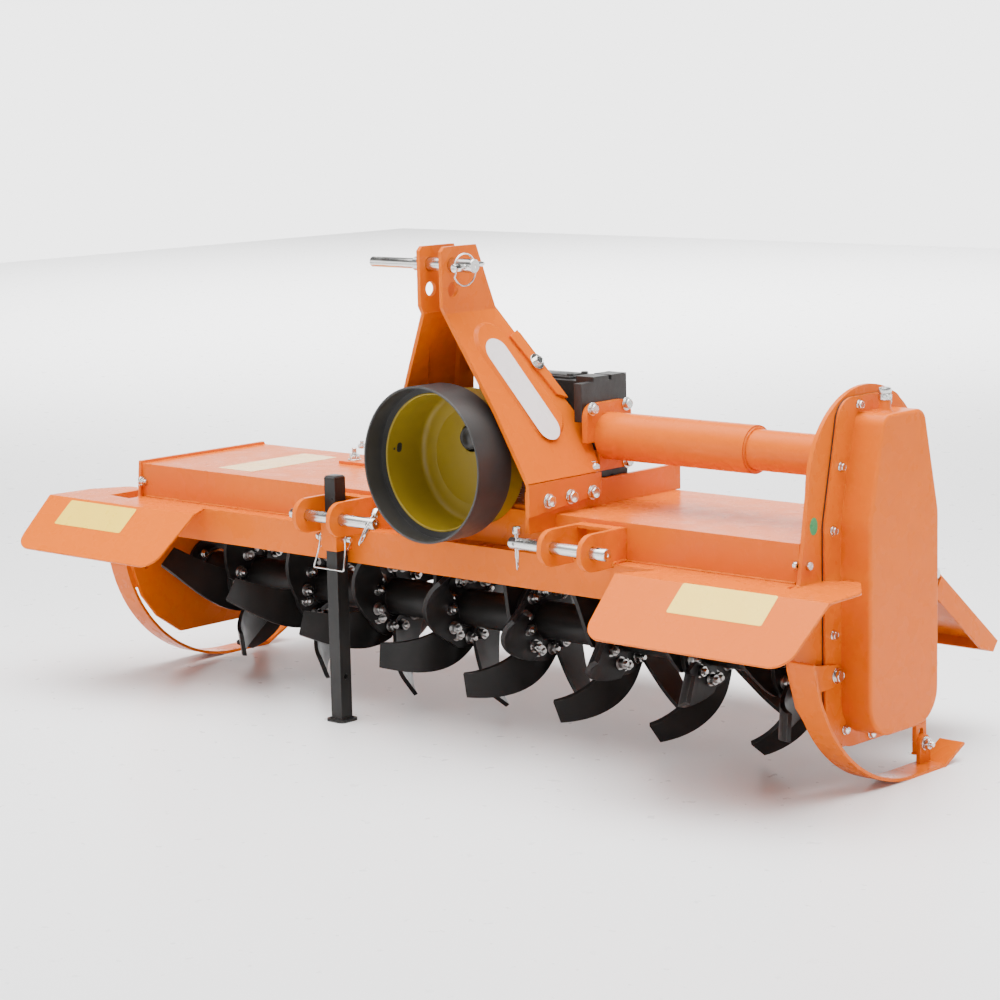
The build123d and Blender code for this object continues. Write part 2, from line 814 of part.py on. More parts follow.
with BuildPart() as stand_leg:
    with BuildSketch(Plane.XY):
        with Locations((stand_x, stand_y)):
            RectangleRounded(stand_foot, stand_foot, 12)
    extrude(amount=stand_foot_thick)
    with BuildSketch(Plane.XY.offset(stand_foot_thick)):
        with Locations((stand_x, stand_y)):
            Rectangle(stand_size, stand_size)
            Rectangle(stand_size - 2 * stand_wall, stand_size - 2 * stand_wall, mode=Mode.SUBTRACT)
    extrude(amount=stand_top - stand_foot_thick)
    with BuildSketch(Plane.YZ.offset(stand_x - stand_size)):
        with Locations((stand_y, stand_hole_z)):
            Circle(stand_hole)
    extrude(amount=2 * stand_size, mode=Mode.SUBTRACT)
stand_leg.part.label = "stand_leg"
export_step(stand_leg.part, "parts/stand_leg.step")

# ------------------------------------------------------------------ guards
fold_y = beam_face - guard_strip
slope_plane = Plane(
    origin=(hitch_x, fold_y, guard_top),
    x_dir=(1, 0, 0),
    z_dir=(0, -sin(radians(guard_slope)), cos(radians(guard_slope))),
)
case_edge_reach = flange_out - hitch_x
for side, name, inner, edge, slot, outer in (
    (-1, "left", guard_inner_left, deck_reach_left + plate, slot_width, guard_reach_left),
    (1, "right", guard_inner_right, case_edge_reach, 0, guard_reach_right),
):
    lobe = edge + slot
    with BuildPart() as guard:
        with BuildSketch(Plane.XY.offset(guard_top - guard_sheet)):
            with BuildLine():
                Polyline(
                    (hitch_x + side * outer, fold_y),
                    (hitch_x + side * inner, fold_y),
                    (hitch_x + side * (inner + 40), beam_face),
                    (hitch_x + side * edge, beam_face),
                    (hitch_x + side * lobe, deck_front - slot_front),
                    (hitch_x + side * lobe, deck_front + lobe_side),
                )
                FilletPolyline(
                    (hitch_x + side * lobe, deck_front + lobe_side),
                    (hitch_x + side * (lobe + lobe_width), deck_front + lobe_reach),
                    (hitch_x + side * (outer - lobe_taper), deck_front),
                    (hitch_x + side * outer, fold_y),
                    radius=lobe_round,
                )
            make_face()
        extrude(amount=guard_sheet)
        if slot:
            with BuildSketch(Plane.XY.offset(guard_top)):
                with Locations((hitch_x + side * (lobe + guard_sheet / 2), deck_front + (lobe_side - slot_front) / 2)):
                    Rectangle(guard_sheet, lobe_side + slot_front)
            extrude(amount=-slot_lip)
        with BuildSketch(slope_plane):
            with BuildLine():
                rim = FilletPolyline(
                    (side * inner, 0),
                    (side * (inner + guard_cut), -guard_panel),
                    (side * (outer - guard_cut), -guard_panel),
                    (side * outer, 0),
                    radius=guard_round,
                )
                Line(rim @ 1, rim @ 0)
            make_face()
        extrude(amount=-guard_sheet)
    guard.part.label = "guard_" + name
    export_step(guard.part, "parts/guard_" + name + ".step")

# ------------------------------------------------------------------ skids
for side, name, face in ((-1, "left", plate_out_left), (1, "right", flange_out)):
    with BuildPart() as skid:
        with BuildSketch(Plane.YZ.offset(face if side > 0 else face - skid_width)):
            with BuildLine():
                bow = CenterArc((skid_low_y, skid_radius + skid_thick / 2), skid_radius, 189, 81)
                flat = Line(bow @ 1, (skid_low_y + skid_flat, skid_thick / 2))
                tail = PolarLine(flat @ 1, skid_tail, skid_tail_angle)
                offset(amount=skid_thick / 2)
            make_face()
        extrude(amount=skid_width)
        with BuildSketch(Plane.YZ.offset(face if side > 0 else face - lug)):
            with BuildLine():
                Polyline(
                    bow @ 0.02,
                    (lug_bolt_y, lug_bolt_z + lug_radius),
                    (lug_bolt_y, lug_bolt_z - lug_radius),
                    bow @ 0.17,
                    close=True,
                )
            make_face()
            with Locations((lug_bolt_y, lug_bolt_z)):
                Circle(lug_radius)
                Circle(bolt_hole, mode=Mode.SUBTRACT)
        extrude(amount=lug)
        rear_lug_x = face + side * (plate + 0.3)
        with BuildSketch(Plane.YZ.offset(rear_lug_x if side > 0 else rear_lug_x - plate)):
            with Locations((bar_y, rear_bolt_z)):
                Circle(bar_width / 2)
            with Locations((bar_y, rear_bolt_z / 2 + 1)):
                Rectangle(bar_width, rear_bolt_z - 2)
            with Locations((bar_y, rear_bolt_z)):
                Circle(bolt_hole, mode=Mode.SUBTRACT)
        extrude(amount=plate)
    skid.part.label = "skid_" + name
    export_step(skid.part, "parts/skid_" + name + ".step")

    with BuildPart() as skid_bar:
        with BuildSketch(Plane.YZ.offset(face if side > 0 else face - plate)):
            with Locations((bar_y, (bar_low + bar_high) / 2)):
                Rectangle(bar_width, bar_high - bar_low)
            for hole in range(4):
                with Locations((bar_y, rear_bolt_z + hole * bar_hole_pitch)):
                    Circle(bolt_hole, mode=Mode.SUBTRACT)
        extrude(amount=plate)
    skid_bar.part.label = "skid_bar_" + name
    export_step(skid_bar.part, "parts/skid_bar_" + name + ".step")

# ------------------------------------------------------------------ rotor and its left bearing
with BuildPart() as rotor_bearing_left:
    with BuildSketch(Plane.YZ.offset(deck_left)):
        with Locations((rotor_y, rotor_z)):
            Circle(bearing_radius)
            Circle(stub_radius + shaft_fit, mode=Mode.SUBTRACT)
    extrude(amount=8)
    with BuildSketch(Plane.YZ.offset(deck_left + 8)):
        with Locations((rotor_y, rotor_z)):
            Circle(bearing_radius - 16)
            Circle(stub_radius + shaft_fit, mode=Mode.SUBTRACT)
    extrude(amount=bearing_depth - 8)
rotor_bearing_left.part.label = "rotor_bearing_left"
export_step(rotor_bearing_left.part, "parts/rotor_bearing_left.step")

with BuildPart() as rotor_bearing_right:
    with BuildSketch(Plane.YZ.offset(deck_right)):
        with Locations((rotor_y, rotor_z)):
            Circle(bearing_radius)
            Circle(stub_radius + shaft_fit, mode=Mode.SUBTRACT)
    extrude(amount=-8)
    with BuildSketch(Plane.YZ.offset(deck_right - 8)):
        with Locations((rotor_y, rotor_z)):
            Circle(bearing_radius - 16)
            Circle(stub_radius + shaft_fit, mode=Mode.SUBTRACT)
    extrude(amount=-(bearing_depth - 8))
rotor_bearing_right.part.label = "rotor_bearing_right"
export_step(rotor_bearing_right.part, "parts/rotor_bearing_right.step")

# One blade, on the -X face of a disc whose middle is the origin; +Y runs out along the shank.
bend_tilt = radians(blade_bend_tilt)
bend_plane = Plane(
    origin=(-disc_thick / 2, blade_low * cos(bend_tilt), blade_low * sin(bend_tilt)),
    x_dir=(0, sin(bend_tilt), -cos(bend_tilt)),
    z_dir=(0, cos(bend_tilt), sin(bend_tilt)),
)
with BuildPart() as blade:
    with BuildSketch(bend_plane):
        with BuildLine():
            middle = (blade_bend_from, blade_bend)
            outer = CenterArc(middle, blade_bend, -90, blade_bend_angle)
            inner = CenterArc(middle, blade_bend - blade_thick, -90, blade_bend_angle)
            Line(outer @ 1, inner @ 1)
            Polyline(
                outer @ 0,
                (-blade_back, 0),
                (-blade_back, blade_thick),
                inner @ 0,
            )
        make_face()
    extrude(amount=blade_high - blade_low)
    with BuildSketch(Plane.YZ.offset(-blade_bend)):
        with BuildLine():
            lead = ThreePointArc((76, 38), (128, -35), (140, -129))
            trail = ThreePointArc((95, -137), (71, -78), (34, -34))
            Line(lead @ 1, trail @ 0)
            Polyline(trail @ 1, (32, 20), (50, 38), lead @ 0)
        make_face()
    extrude(amount=blade_bend, mode=Mode.INTERSECT)

tube_left = deck_left + bearing_depth + rotor_gap
tube_right = deck_right - bearing_depth - rotor_gap
with BuildPart() as rotor:
    with BuildSketch(Plane.YZ.offset(tube_left)):
        with Locations((rotor_y, rotor_z)):
            Circle(rotor_tube_radius)
    extrude(amount=tube_right - tube_left)
    with BuildSketch(Plane.YZ.offset(deck_left)):
        with Locations((rotor_y, rotor_z)):
            Circle(stub_radius)
    extrude(amount=deck_right - deck_left)
    for disc in range(disc_count):
        disc_x = disc_first + disc * disc_pitch
        with BuildSketch(Plane.YZ.offset(disc_x - disc_thick / 2)):
            with Locations((rotor_y, rotor_z)):
                Circle(disc_radius)
        extrude(amount=disc_thick)
        for step in range(blades_per_side):
            turn = first_blade + disc * disc_twist + step * 360 / blades_per_side
            left = blade.part.rotate(Axis.X, turn)
            right = mirror(blade.part, about=Plane.YZ, mode=Mode.PRIVATE)
            right = right.rotate(Axis.X, turn + 180 / blades_per_side)
            add(left.moved(Location((disc_x, rotor_y, rotor_z))))
            add(right.moved(Location((disc_x, rotor_y, rotor_z))))
rotor.part.label = "rotor"
export_step(rotor.part, "parts/rotor.step")

# ------------------------------------------------------------------ rear board
board_dir = (cos(radians(board_angle)), -sin(radians(board_angle)))
board_left = deck_left + board_margin
board_right = deck_right - board_margin
board_plane = Plane(
    origin=(board_left, board_hinge_y, board_hinge_z),
    x_dir=(0, board_dir[0], board_dir[1]),
    z_dir=(1, 0, 0),
)
with BuildPart() as rear_board:
    with BuildSketch(board_plane):
        Circle(board_knuckle)
        Circle(board_pin + shaft_fit, mode=Mode.SUBTRACT)
        with Locations((board_pin + (board_span - board_pin) / 2, board_knuckle - sheet / 2)):
            Rectangle(board_span - board_pin, sheet)
        with Locations((board_span - sheet / 2, board_knuckle - board_lip / 2)):
            Rectangle(sheet, board_lip)
    extrude(amount=board_right - board_left)
    for end in (0, board_right - board_left - sheet):
        with BuildSketch(board_plane.offset(end)):
            with BuildLine():
                Polyline(
                    (board_flange_from, board_knuckle - sheet / 2),
                    (board_flange_from, board_knuckle - board_flange),
                    (board_span - board_flange, board_knuckle - board_flange),
                    (board_span - sheet / 2, board_knuckle - board_lip),
                    (board_span - sheet / 2, board_knuckle - sheet / 2),
                    close=True,
                )
            make_face()
        extrude(amount=sheet)
rear_board.part.label = "rear_board"
export_step(rear_board.part, "parts/rear_board.step")

with BuildPart() as board_hinge:
    with BuildSketch(Plane.YZ.offset(deck_left)):
        with Locations((board_hinge_y, board_hinge_z)):
            Circle(board_pin)
    extrude(amount=deck_right - deck_left)
    for lug_x in (deck_left, deck_right - 5):
        with BuildSketch(Plane.YZ.offset(lug_x)):
            with Locations((board_hinge_y, board_hinge_z)):
                Circle(board_knuckle)
            with BuildLine():
                Polyline(
                    (board_hinge_y - board_knuckle, board_hinge_z),
                    (board_hinge_y + board_knuckle, board_hinge_z),
                    (slope_y, slope_z),
                    (slope_y - sheet, slope_z),
                    (slope_y - sheet - 18, slope_z),
                    close=True,
                )
            make_face()
        extrude(amount=5)
board_hinge.part.label = "board_hinge"
export_step(board_hinge.part, "parts/board_hinge.step")
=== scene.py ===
import json
import math

import bmesh
import bpy
from mathutils import Matrix, Vector


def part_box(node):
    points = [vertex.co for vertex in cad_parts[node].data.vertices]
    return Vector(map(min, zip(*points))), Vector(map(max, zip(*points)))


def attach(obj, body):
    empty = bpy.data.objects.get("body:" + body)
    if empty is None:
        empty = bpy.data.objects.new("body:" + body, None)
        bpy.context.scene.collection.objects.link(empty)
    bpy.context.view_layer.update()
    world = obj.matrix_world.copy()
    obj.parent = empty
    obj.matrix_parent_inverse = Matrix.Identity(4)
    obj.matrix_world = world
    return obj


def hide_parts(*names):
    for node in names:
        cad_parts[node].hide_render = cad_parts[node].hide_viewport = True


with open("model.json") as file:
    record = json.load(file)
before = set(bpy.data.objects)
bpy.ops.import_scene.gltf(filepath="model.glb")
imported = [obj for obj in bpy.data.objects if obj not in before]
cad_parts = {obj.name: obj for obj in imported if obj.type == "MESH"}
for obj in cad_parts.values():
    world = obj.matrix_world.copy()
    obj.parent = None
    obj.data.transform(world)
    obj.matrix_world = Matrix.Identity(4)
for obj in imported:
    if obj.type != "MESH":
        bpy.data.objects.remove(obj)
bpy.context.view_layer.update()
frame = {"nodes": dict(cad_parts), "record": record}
nodes = frame["nodes"]

# ---------------------------------------------------------------- places, from the CAD
# In metres: the hitch's middle plane, the deck's front, the heights of the drive shaft and its shield,
# and the thickness of a label.
deck_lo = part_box("deck")[0]
HITCH_X = deck_lo.x + 0.931
FRONT_Y = deck_lo.y
SHAFT_Z = 0.561
SHIELD_Z = 0.527
FILM_THICK = 0.0003

# In millimetres, as at() takes them.
LEFT_WALL, RIGHT_WALL = -931, 729   # inner faces of the left side plate and of the back plate
LEFT_FACE, BACK_FACE = -939, 737    # their outer faces
FLANGE = 744                        # outer face of the chain case's flange
DECK_TOP = 438
ROTOR_Y, ROTOR_Z = 170, 198
LOWER_PIN_X, EAR_X = 307.5, 45.5    # a lower pin's middle, and an ear's distance from it
LABEL_GAP = 0.05                    # a label's distance from the surface that it lies on

X, Y, Z = Vector((1, 0, 0)), Vector((0, 1, 0)), Vector((0, 0, 1))


def at(x, y, z):
    """A point from millimetres, measured from the hitch's middle plane, the deck's front and the floor."""
    return Vector((HITCH_X + x / 1000, FRONT_Y + y / 1000, z / 1000))


def by_rotor(x, radius, degrees):
    """A point at a radius and an angle about the rotor's axis."""
    a = math.radians(degrees)
    return at(x, ROTOR_Y + radius * math.cos(a), ROTOR_Z + radius * math.sin(a))


# ---------------------------------------------------------------- materials
def node(tree, kind, **values):
    """A new node with its settings."""
    n = tree.nodes.new(kind)
    for key, value in values.items():
        setattr(n, key, value)
    return n


def map_range(tree, value, band):
    """Maps a value by a band of (from low, from high, to low, to high)."""
    n = node(tree, "ShaderNodeMapRange")
    for key, v in zip(("From Min", "From Max", "To Min", "To Max"), band):
        n.inputs[key].default_value = v
    tree.links.new(value, n.inputs["Value"])
    return n.outputs["Result"]


def material(name, base, second, rough, rough_span, *, spread, grain, bevel, grain_depth=0.00005,
             metallic=0.0, coat=0.0, spec=0.5, lumps=None, wear=None, wear_amount=0.6, dust=0.0, scratch=0.0):
    """A procedural finish: mottled colour, uneven roughness, a fine bump, rounded and worn edges."""
    m = bpy.data.materials.new(name)
    m.use_nodes = True
    t = m.node_tree
    shader = t.nodes["Principled BSDF"]
    shader.inputs["Metallic"].default_value = metallic
    shader.inputs["Coat Weight"].default_value = coat
    shader.inputs["Coat Roughness"].default_value = 0.06
    shader.inputs["Specular IOR Level"].default_value = spec
    link = t.links.new
    where = node(t, "ShaderNodeTexCoord").outputs["Object"]

    def noise(scale, detail=4.0, stretch=None):
        n = node(t, "ShaderNodeTexNoise")
        n.inputs["Scale"].default_value = scale
        n.inputs["Detail"].default_value = detail
        if stretch:
            s = node(t, "ShaderNodeMapping")
            s.inputs["Scale"].default_value = stretch
            link(where, s.inputs["Vector"])
            link(s.outputs["Vector"], n.inputs["Vector"])
        else:
            link(where, n.inputs["Vector"])
        return n.outputs["Fac"]

    def blend(factor, a, b):
        n = node(t, "ShaderNodeMix", data_type="RGBA")
        link(factor, n.inputs["Factor"])
        for socket, v in ((n.inputs[6], a), (n.inputs[7], b)):
            if isinstance(v, tuple):
                socket.default_value = (*v, 1)
            else:
                link(v, socket)
        return n.outputs[2]

    def product(a, b):
        n = node(t, "ShaderNodeMath", operation="MULTIPLY")
        link(a, n.inputs[0])
        link(b, n.inputs[1])
        return n.outputs[0]

    colour = blend(map_range(t, noise(spread), (0.35, 0.65, 0, 0.5)), base, second)
    if dust:
        tops = node(t, "ShaderNodeSeparateXYZ")
        link(node(t, "ShaderNodeNewGeometry").outputs["Normal"], tops.inputs[0])
        mask = product(map_range(t, tops.outputs["Z"], (0.3, 1.0, 0, dust)),
                       map_range(t, noise(14, 6), (0.4, 0.7, 0.2, 1)))
        colour = blend(mask, colour, (0.36, 0.33, 0.29))
    softened = node(t, "ShaderNodeBevel", samples=4)
    softened.inputs["Radius"].default_value = bevel
    if wear:
        turned = node(t, "ShaderNodeVectorMath", operation="DOT_PRODUCT")
        link(softened.outputs["Normal"], turned.inputs[0])
        link(node(t, "ShaderNodeNewGeometry").outputs["Normal"], turned.inputs[1])
        patch = product(map_range(t, turned.outputs["Value"], (0.985, 0.90, 0, 1)),
                        map_range(t, noise(45, 6), (0.45, 0.62, 0, wear_amount)))
        colour = blend(patch, colour, wear)
    if scratch:
        lines = map_range(t, noise(70, 3, (1.0, 14.0, 14.0)), (0.66, 0.72, 0, scratch))
        colour = blend(lines, colour, wear)
    link(colour, shader.inputs["Base Color"])
    uneven = map_range(t, noise(26, 5), (0.3, 0.7, rough - rough_span, rough + rough_span))
    link(uneven, shader.inputs["Roughness"])
    fine = node(t, "ShaderNodeBump")
    fine.inputs["Strength"].default_value = 0.5
    fine.inputs["Distance"].default_value = grain_depth
    link(noise(grain, 3), fine.inputs["Height"])
    link(softened.outputs["Normal"], fine.inputs["Normal"])
    normal = fine.outputs["Normal"]
    if lumps:
        lump_scale, lump_depth = lumps
        coarse = node(t, "ShaderNodeBump")
        coarse.inputs["Distance"].default_value = lump_depth
        link(noise(lump_scale, 5), coarse.inputs["Height"])
        link(normal, coarse.inputs["Normal"])
        normal = coarse.outputs["Normal"]
    link(normal, shader.inputs["Normal"])
    return m


def film(name, base, second, rough, rough_span, spread, wear, coat=0.2):
    """A thin glossy film, for labels and decals."""
    return material(name, base, second, rough, rough_span, spread=spread, grain=700, grain_depth=0.00002,
                    wear=wear, bevel=0.0003, coat=coat)


MATS = {
    "orange_paint": material(
        "orange_enamel", (0.62, 0.116, 0.0), (0.59, 0.104, 0.0), 0.28, 0.05, spread=3.0, grain=260,
        grain_depth=0.00006, wear=(0.80, 0.27, 0.03), wear_amount=0.5, bevel=0.0016, spec=0.12),
    "black_paint": material(
        "black_satin_paint", (0.010, 0.0095, 0.009), (0.018, 0.0165, 0.0155), 0.36, 0.09, spread=9, grain=420,
        grain_depth=0.00012, wear=(0.14, 0.12, 0.11), wear_amount=0.7, bevel=0.001, dust=0.01, spec=0.22),
    "zinc": material(
        "zinc_plate", (0.66, 0.66, 0.65), (0.58, 0.57, 0.53), 0.22, 0.08, metallic=1.0, spread=50, grain=700,
        grain_depth=0.00004, wear=(0.85, 0.85, 0.84), bevel=0.0005),
    "bare_steel": material(
        "machined_steel", (0.42, 0.41, 0.40), (0.33, 0.32, 0.31), 0.30, 0.1, metallic=1.0, spread=30,
        grain=800, wear=(0.7, 0.7, 0.7), bevel=0.0005),
    "cast_housing": material(
        "cast_housing_black", (0.014, 0.0135, 0.013), (0.024, 0.023, 0.022), 0.42, 0.1, spread=12, grain=520,
        grain_depth=0.0004, lumps=(90, 0.0006), wear=(0.07, 0.065, 0.06), wear_amount=0.5, bevel=0.003,
        spec=0.35),
    "yellow_plastic": material(
        "moulded_yellow", (0.235, 0.160, 0.010), (0.20, 0.135, 0.008), 0.36, 0.07, spread=8, grain=500,
        grain_depth=0.00006, wear=(0.42, 0.33, 0.06), wear_amount=0.5, bevel=0.001, spec=0.3),
    "black_rubber": material(
        "black_rubber", (0.020, 0.0195, 0.019), (0.028, 0.027, 0.026), 0.46, 0.08, spread=16, grain=900,
        grain_depth=0.00008, wear=(0.05, 0.05, 0.05), wear_amount=0.5, bevel=0.001),
    "gasket": material(
        "gasket_black", (0.012, 0.012, 0.012), (0.020, 0.019, 0.018), 0.55, 0.1, spread=20, grain=900,
        grain_depth=0.0001, wear=(0.05, 0.05, 0.05), bevel=0.0004),
}
EXTRA = {
    "label_yellow": film(
        "label_yellow", (0.87, 0.60, 0.06), (0.84, 0.56, 0.05), 0.30, 0.06, 20, (0.8, 0.7, 0.4)),
    "label_faded": film(
        "label_faded", (0.86, 0.56, 0.20), (0.88, 0.48, 0.12), 0.26, 0.06, 25, (0.8, 0.7, 0.4)),
    "decal_white": film(
        "decal_white", (0.80, 0.74, 0.74), (0.76, 0.71, 0.72), 0.28, 0.05, 12, (0.7, 0.66, 0.64)),
    "sticker_green": film(
        "sticker_green", (0.02, 0.26, 0.10), (0.02, 0.21, 0.08), 0.32, 0.06, 40, (0.1, 0.35, 0.2), coat=0.0),
    "plastic_black": material(
        "moulded_black", (0.014, 0.014, 0.014), (0.022, 0.021, 0.020), 0.36, 0.08, spread=30, grain=650,
        grain_depth=0.0001, wear=(0.06, 0.06, 0.06), bevel=0.0008),
    "blade_steel": material(
        "painted_blade", (0.009, 0.0085, 0.0082), (0.019, 0.016, 0.015), 0.38, 0.1, spread=14, grain=300,
        grain_depth=0.0002, wear=(0.16, 0.14, 0.13), wear_amount=0.85, bevel=0.0012, spec=0.2, scratch=0.12),
}

subparts = {s["node"]: s["material_slot"] for s in frame["record"]["subparts"]}
for name, o in nodes.items():
    finish = EXTRA["blade_steel"] if name == "rotor" else MATS[subparts[name]]
    o.data.materials.clear()
    o.data.materials.append(finish)


# ---------------------------------------------------------------- mesh helpers
def mesh_object(name, bm):
    """Turns a bmesh into an object of the scene."""
    mesh = bpy.data.meshes.new(name)
    bm.to_mesh(mesh)
    bm.free()
    o = bpy.data.objects.new(name, mesh)
    bpy.context.scene.collection.objects.link(o)
    return o


def solid_object(name, bm):
    """The same, with its faces turned outwards."""
    bmesh.ops.recalc_face_normals(bm, faces=bm.faces)
    return mesh_object(name, bm)


def apply_modifiers(o):
    """Puts the outcome of an object's modifiers into its mesh."""
    mesh = bpy.data.meshes.new_from_object(o.evaluated_get(bpy.context.evaluated_depsgraph_get()))
    o.modifiers.clear()
    o.data = mesh


def dress(o, finish, body, sharp=35):
    """Gives an object its shading and its finish, and lets it ride a body."""
    o.data.polygons.foreach_set("use_smooth", [True] * len(o.data.polygons))
    o.data.set_sharp_from_angle(angle=math.radians(sharp))
    o.data.materials.clear()
    o.data.materials.append({**MATS, **EXTRA}[finish])
    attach(o, body)
    return o


def piece(name, bm, finish, body="frame", bevel=0.0):
    """Turns a bmesh into a piece that rides a body."""
    o = solid_object(name, bm)
    if bevel:
        mod = o.modifiers.new("edge", "BEVEL")
        mod.width = bevel
        mod.segments = 2
        mod.limit_method = "ANGLE"
        mod.angle_limit = math.radians(40)
        apply_modifiers(o)
    return dress(o, finish, body)


def place(point, axis, turn=0.0):
    """A matrix whose +Z is axis, at a point."""
    spin = Matrix.Rotation(turn, 4, "Z")
    return Matrix.Translation(point) @ axis.to_track_quat("Z", "Y").to_matrix().to_4x4() @ spin


def skin(bm, rings, loop=False, caps=True):
    """Faces between neighbouring rings of as many vertices each, and over the two ends."""
    for low, high in list(zip(rings, rings[1:])) + ([(rings[-1], rings[0])] if loop else []):
        count = len(low)
        for i in range(count):
            bm.faces.new((low[i], low[(i + 1) % count], high[(i + 1) % count], high[i]))
    if caps:
        bm.faces.new(list(reversed(rings[0])))
        bm.faces.new(rings[-1])


def lathe(bm, matrix, profile, steps=24, close=True):
    """Turns a profile of (radius, height) about matrix's Z. A radius may be a function of the angle."""
    rings = []
    for radius, height in profile:
        ring = []
        for i in range(steps):
            a = 2 * math.pi * i / steps
            r = radius(a) if callable(radius) else radius
            ring.append(bm.verts.new(matrix @ Vector((r * math.cos(a), r * math.sin(a), height))))
        rings.append(ring)
    skin(bm, rings, caps=close)


def hexagon(flat, cut):
    """Radius of a hexagon with its corners cut back to a circle, by angle."""
    return lambda a: min(flat / math.cos((a + math.pi / 6) % (math.pi / 3) - math.pi / 6), flat * cut)


def bolt_head(bm, point, axis, flat, height, washer=0.0, turn=0.3):
    """A hexagon head with a chamfered crown and, if asked, a washer below."""
    m = place(point, axis, turn)
    base = 0.0
    if washer:
        lathe(bm, m, [(washer - 0.0003, 0), (washer, 0.0004), (washer, 0.0018),
                      (washer - 0.0004, 0.0022)], 28)
        base = 0.0022
    side = hexagon(flat, 1.135)
    lathe(bm, m, [(hexagon(flat, 1.04), base), (side, base + 0.0006), (side, base + height * 0.72),
                  (hexagon(flat, 1.06), base + height * 0.88), (flat * 0.93, base + height),
                  (flat * 0.80, base + height), (flat * 0.74, base + height - 0.0004)], 24)


def nut_end(bm, point, axis, flat, height, washer, stud, reach, turn=0.1):
    """A nut, over a washer if one is asked, with the threaded end of its bolt standing out."""
    m = place(point, axis, turn)
    if washer:
        lathe(bm, m, [(washer - 0.0003, 0), (washer, 0.0004), (washer, 0.0020),
                      (washer - 0.0005, 0.0025)], 28)
    b = 0.0025 if washer else 0.0
    side = hexagon(flat, 1.14)
    lathe(bm, m, [(flat, b), (side, b + 0.001), (side, b + height - 0.0016), (flat, b + height),
                  (stud + 0.0012, b + height), (stud + 0.0004, b + height - 0.001)], 24)
    top = b + height + reach
    steps = int((top - b) / 0.0016)
    profile = [(stud - 0.0004, b)]
    for i in range(steps):
        profile.append((stud if i % 2 else stud - 0.0006, b + (top - 0.001 - b) * (i + 1) / steps))
    profile.append((stud - 0.0012, top))
    lathe(bm, m, profile, 16)


def sweep(bm, points, radius, closed=False, squash=1.0, ripple=0.0):
    """A round section carried along a list of points, with a ripple in its radius if asked."""
    count = len(points)
    rings = []
    side = None
    for i, p in enumerate(points):
        before = points[(i - 1) % count] if closed or i else p
        after = points[(i + 1) % count] if closed or i < count - 1 else p
        direction = (after - before).normalized()
        if side is None:
            side = direction.orthogonal().normalized()
        side = (side - direction * side.dot(direction)).normalized()
        up = direction.cross(side)
        r = radius * (1 + ripple * math.sin(i * 1.9))
        rings.append([bm.verts.new(p + side * r * math.cos(a) + up * r * squash * math.sin(a))
                      for a in (k * math.pi / 4 for k in range(8))])
    skin(bm, rings, loop=closed, caps=not closed)


def smooth_path(points, steps):
    """Points of a Catmull-Rom curve through a few control points."""
    out = []
    for p0, p1, p2, p3 in zip(points[:1] + points, points, points[1:], points[2:] + points[-1:]):
        for s in range(steps):
            u = s / steps
            out.append(0.5 * ((2 * p1) + (p2 - p0) * u + (2 * p0 - 5 * p1 + 4 * p2 - p3) * u * u
                              + (3 * p1 - p0 - 3 * p2 + p3) * u * u * u))
    return out + points[-1:]


def bead(bm, points, radius, closed=False):
    """A weld bead: a rippled seam laid along straight runs."""
    line = []
    for a, b in zip(points, points[1:] + (points[:1] if closed else [])):
        n = max(2, int((b - a).length / 0.003))
        line += [a.lerp(b, i / n) for i in range(n)]
    sweep(bm, line if closed else line + points[-1:], radius, closed, ripple=0.14)


def circle(middle, u, v, radius, count):
    """Points of a circle in the plane of u and v."""
    turns = [2 * math.pi * i / count for i in range(count)]
    return [middle + u * radius * math.cos(a) + v * radius * math.sin(a) for a in turns]


def plate_outline(bm, origin, u, v, outline, thick):
    """A thin plate: an outline in u and v, raised along their normal."""
    n = u.cross(v).normalized() * thick
    skin(bm, [[bm.verts.new(origin + u * a + v * b + n * level) for a, b in outline] for level in (0, 1)])


def rounded(width, height, radius):
    """Outline of a rounded rectangle about its middle."""
    out = []
    for cx, cy, start in ((1, 1, 0), (-1, 1, 90), (-1, -1, 180), (1, -1, 270)):
        for i in range(6):
            a = math.radians(start + 18 * i)
            out.append((cx * (width / 2 - radius) + radius * math.cos(a),
                        cy * (height / 2 - radius) + radius * math.sin(a)))
    return out


# ---------------------------------------------------------------- camera, floor and light
camera = bpy.data.objects.new("camera", bpy.data.cameras.new("camera"))
bpy.context.scene.collection.objects.link(camera)
azimuth, elevation, roll = math.radians(42.517), math.radians(9.031), math.radians(-1.301)
back = Vector((math.sin(azimuth) * math.cos(elevation), -math.cos(azimuth) * math.cos(elevation),
               math.sin(elevation)))
right = (-back).cross(Z).normalized()
up = right.cross(-back)
right, up = (math.cos(roll) * right + math.sin(roll) * up, math.cos(roll) * up - math.sin(roll) * right)
turn = Matrix((right, up, back)).transposed().to_4x4()
camera.matrix_world = Matrix.Translation(at(3431.49, -3675.56, 1243.96)) @ turn
camera.data.sensor_width = 36
camera.data.lens = 100.39
camera.data.clip_end = 100
bpy.context.scene.camera = camera

bm = bmesh.new()
bmesh.ops.create_grid(bm, x_segments=24, y_segments=24, size=11)
floor = mesh_object("floor", bm)
floor.data.materials.append(material("studio_floor", (0.86, 0.86, 0.865), (0.84, 0.84, 0.845), 0.30, 0.03,
                                     spread=0.6, grain=40, grain_depth=0.00001, bevel=0.0001, spec=0.35))

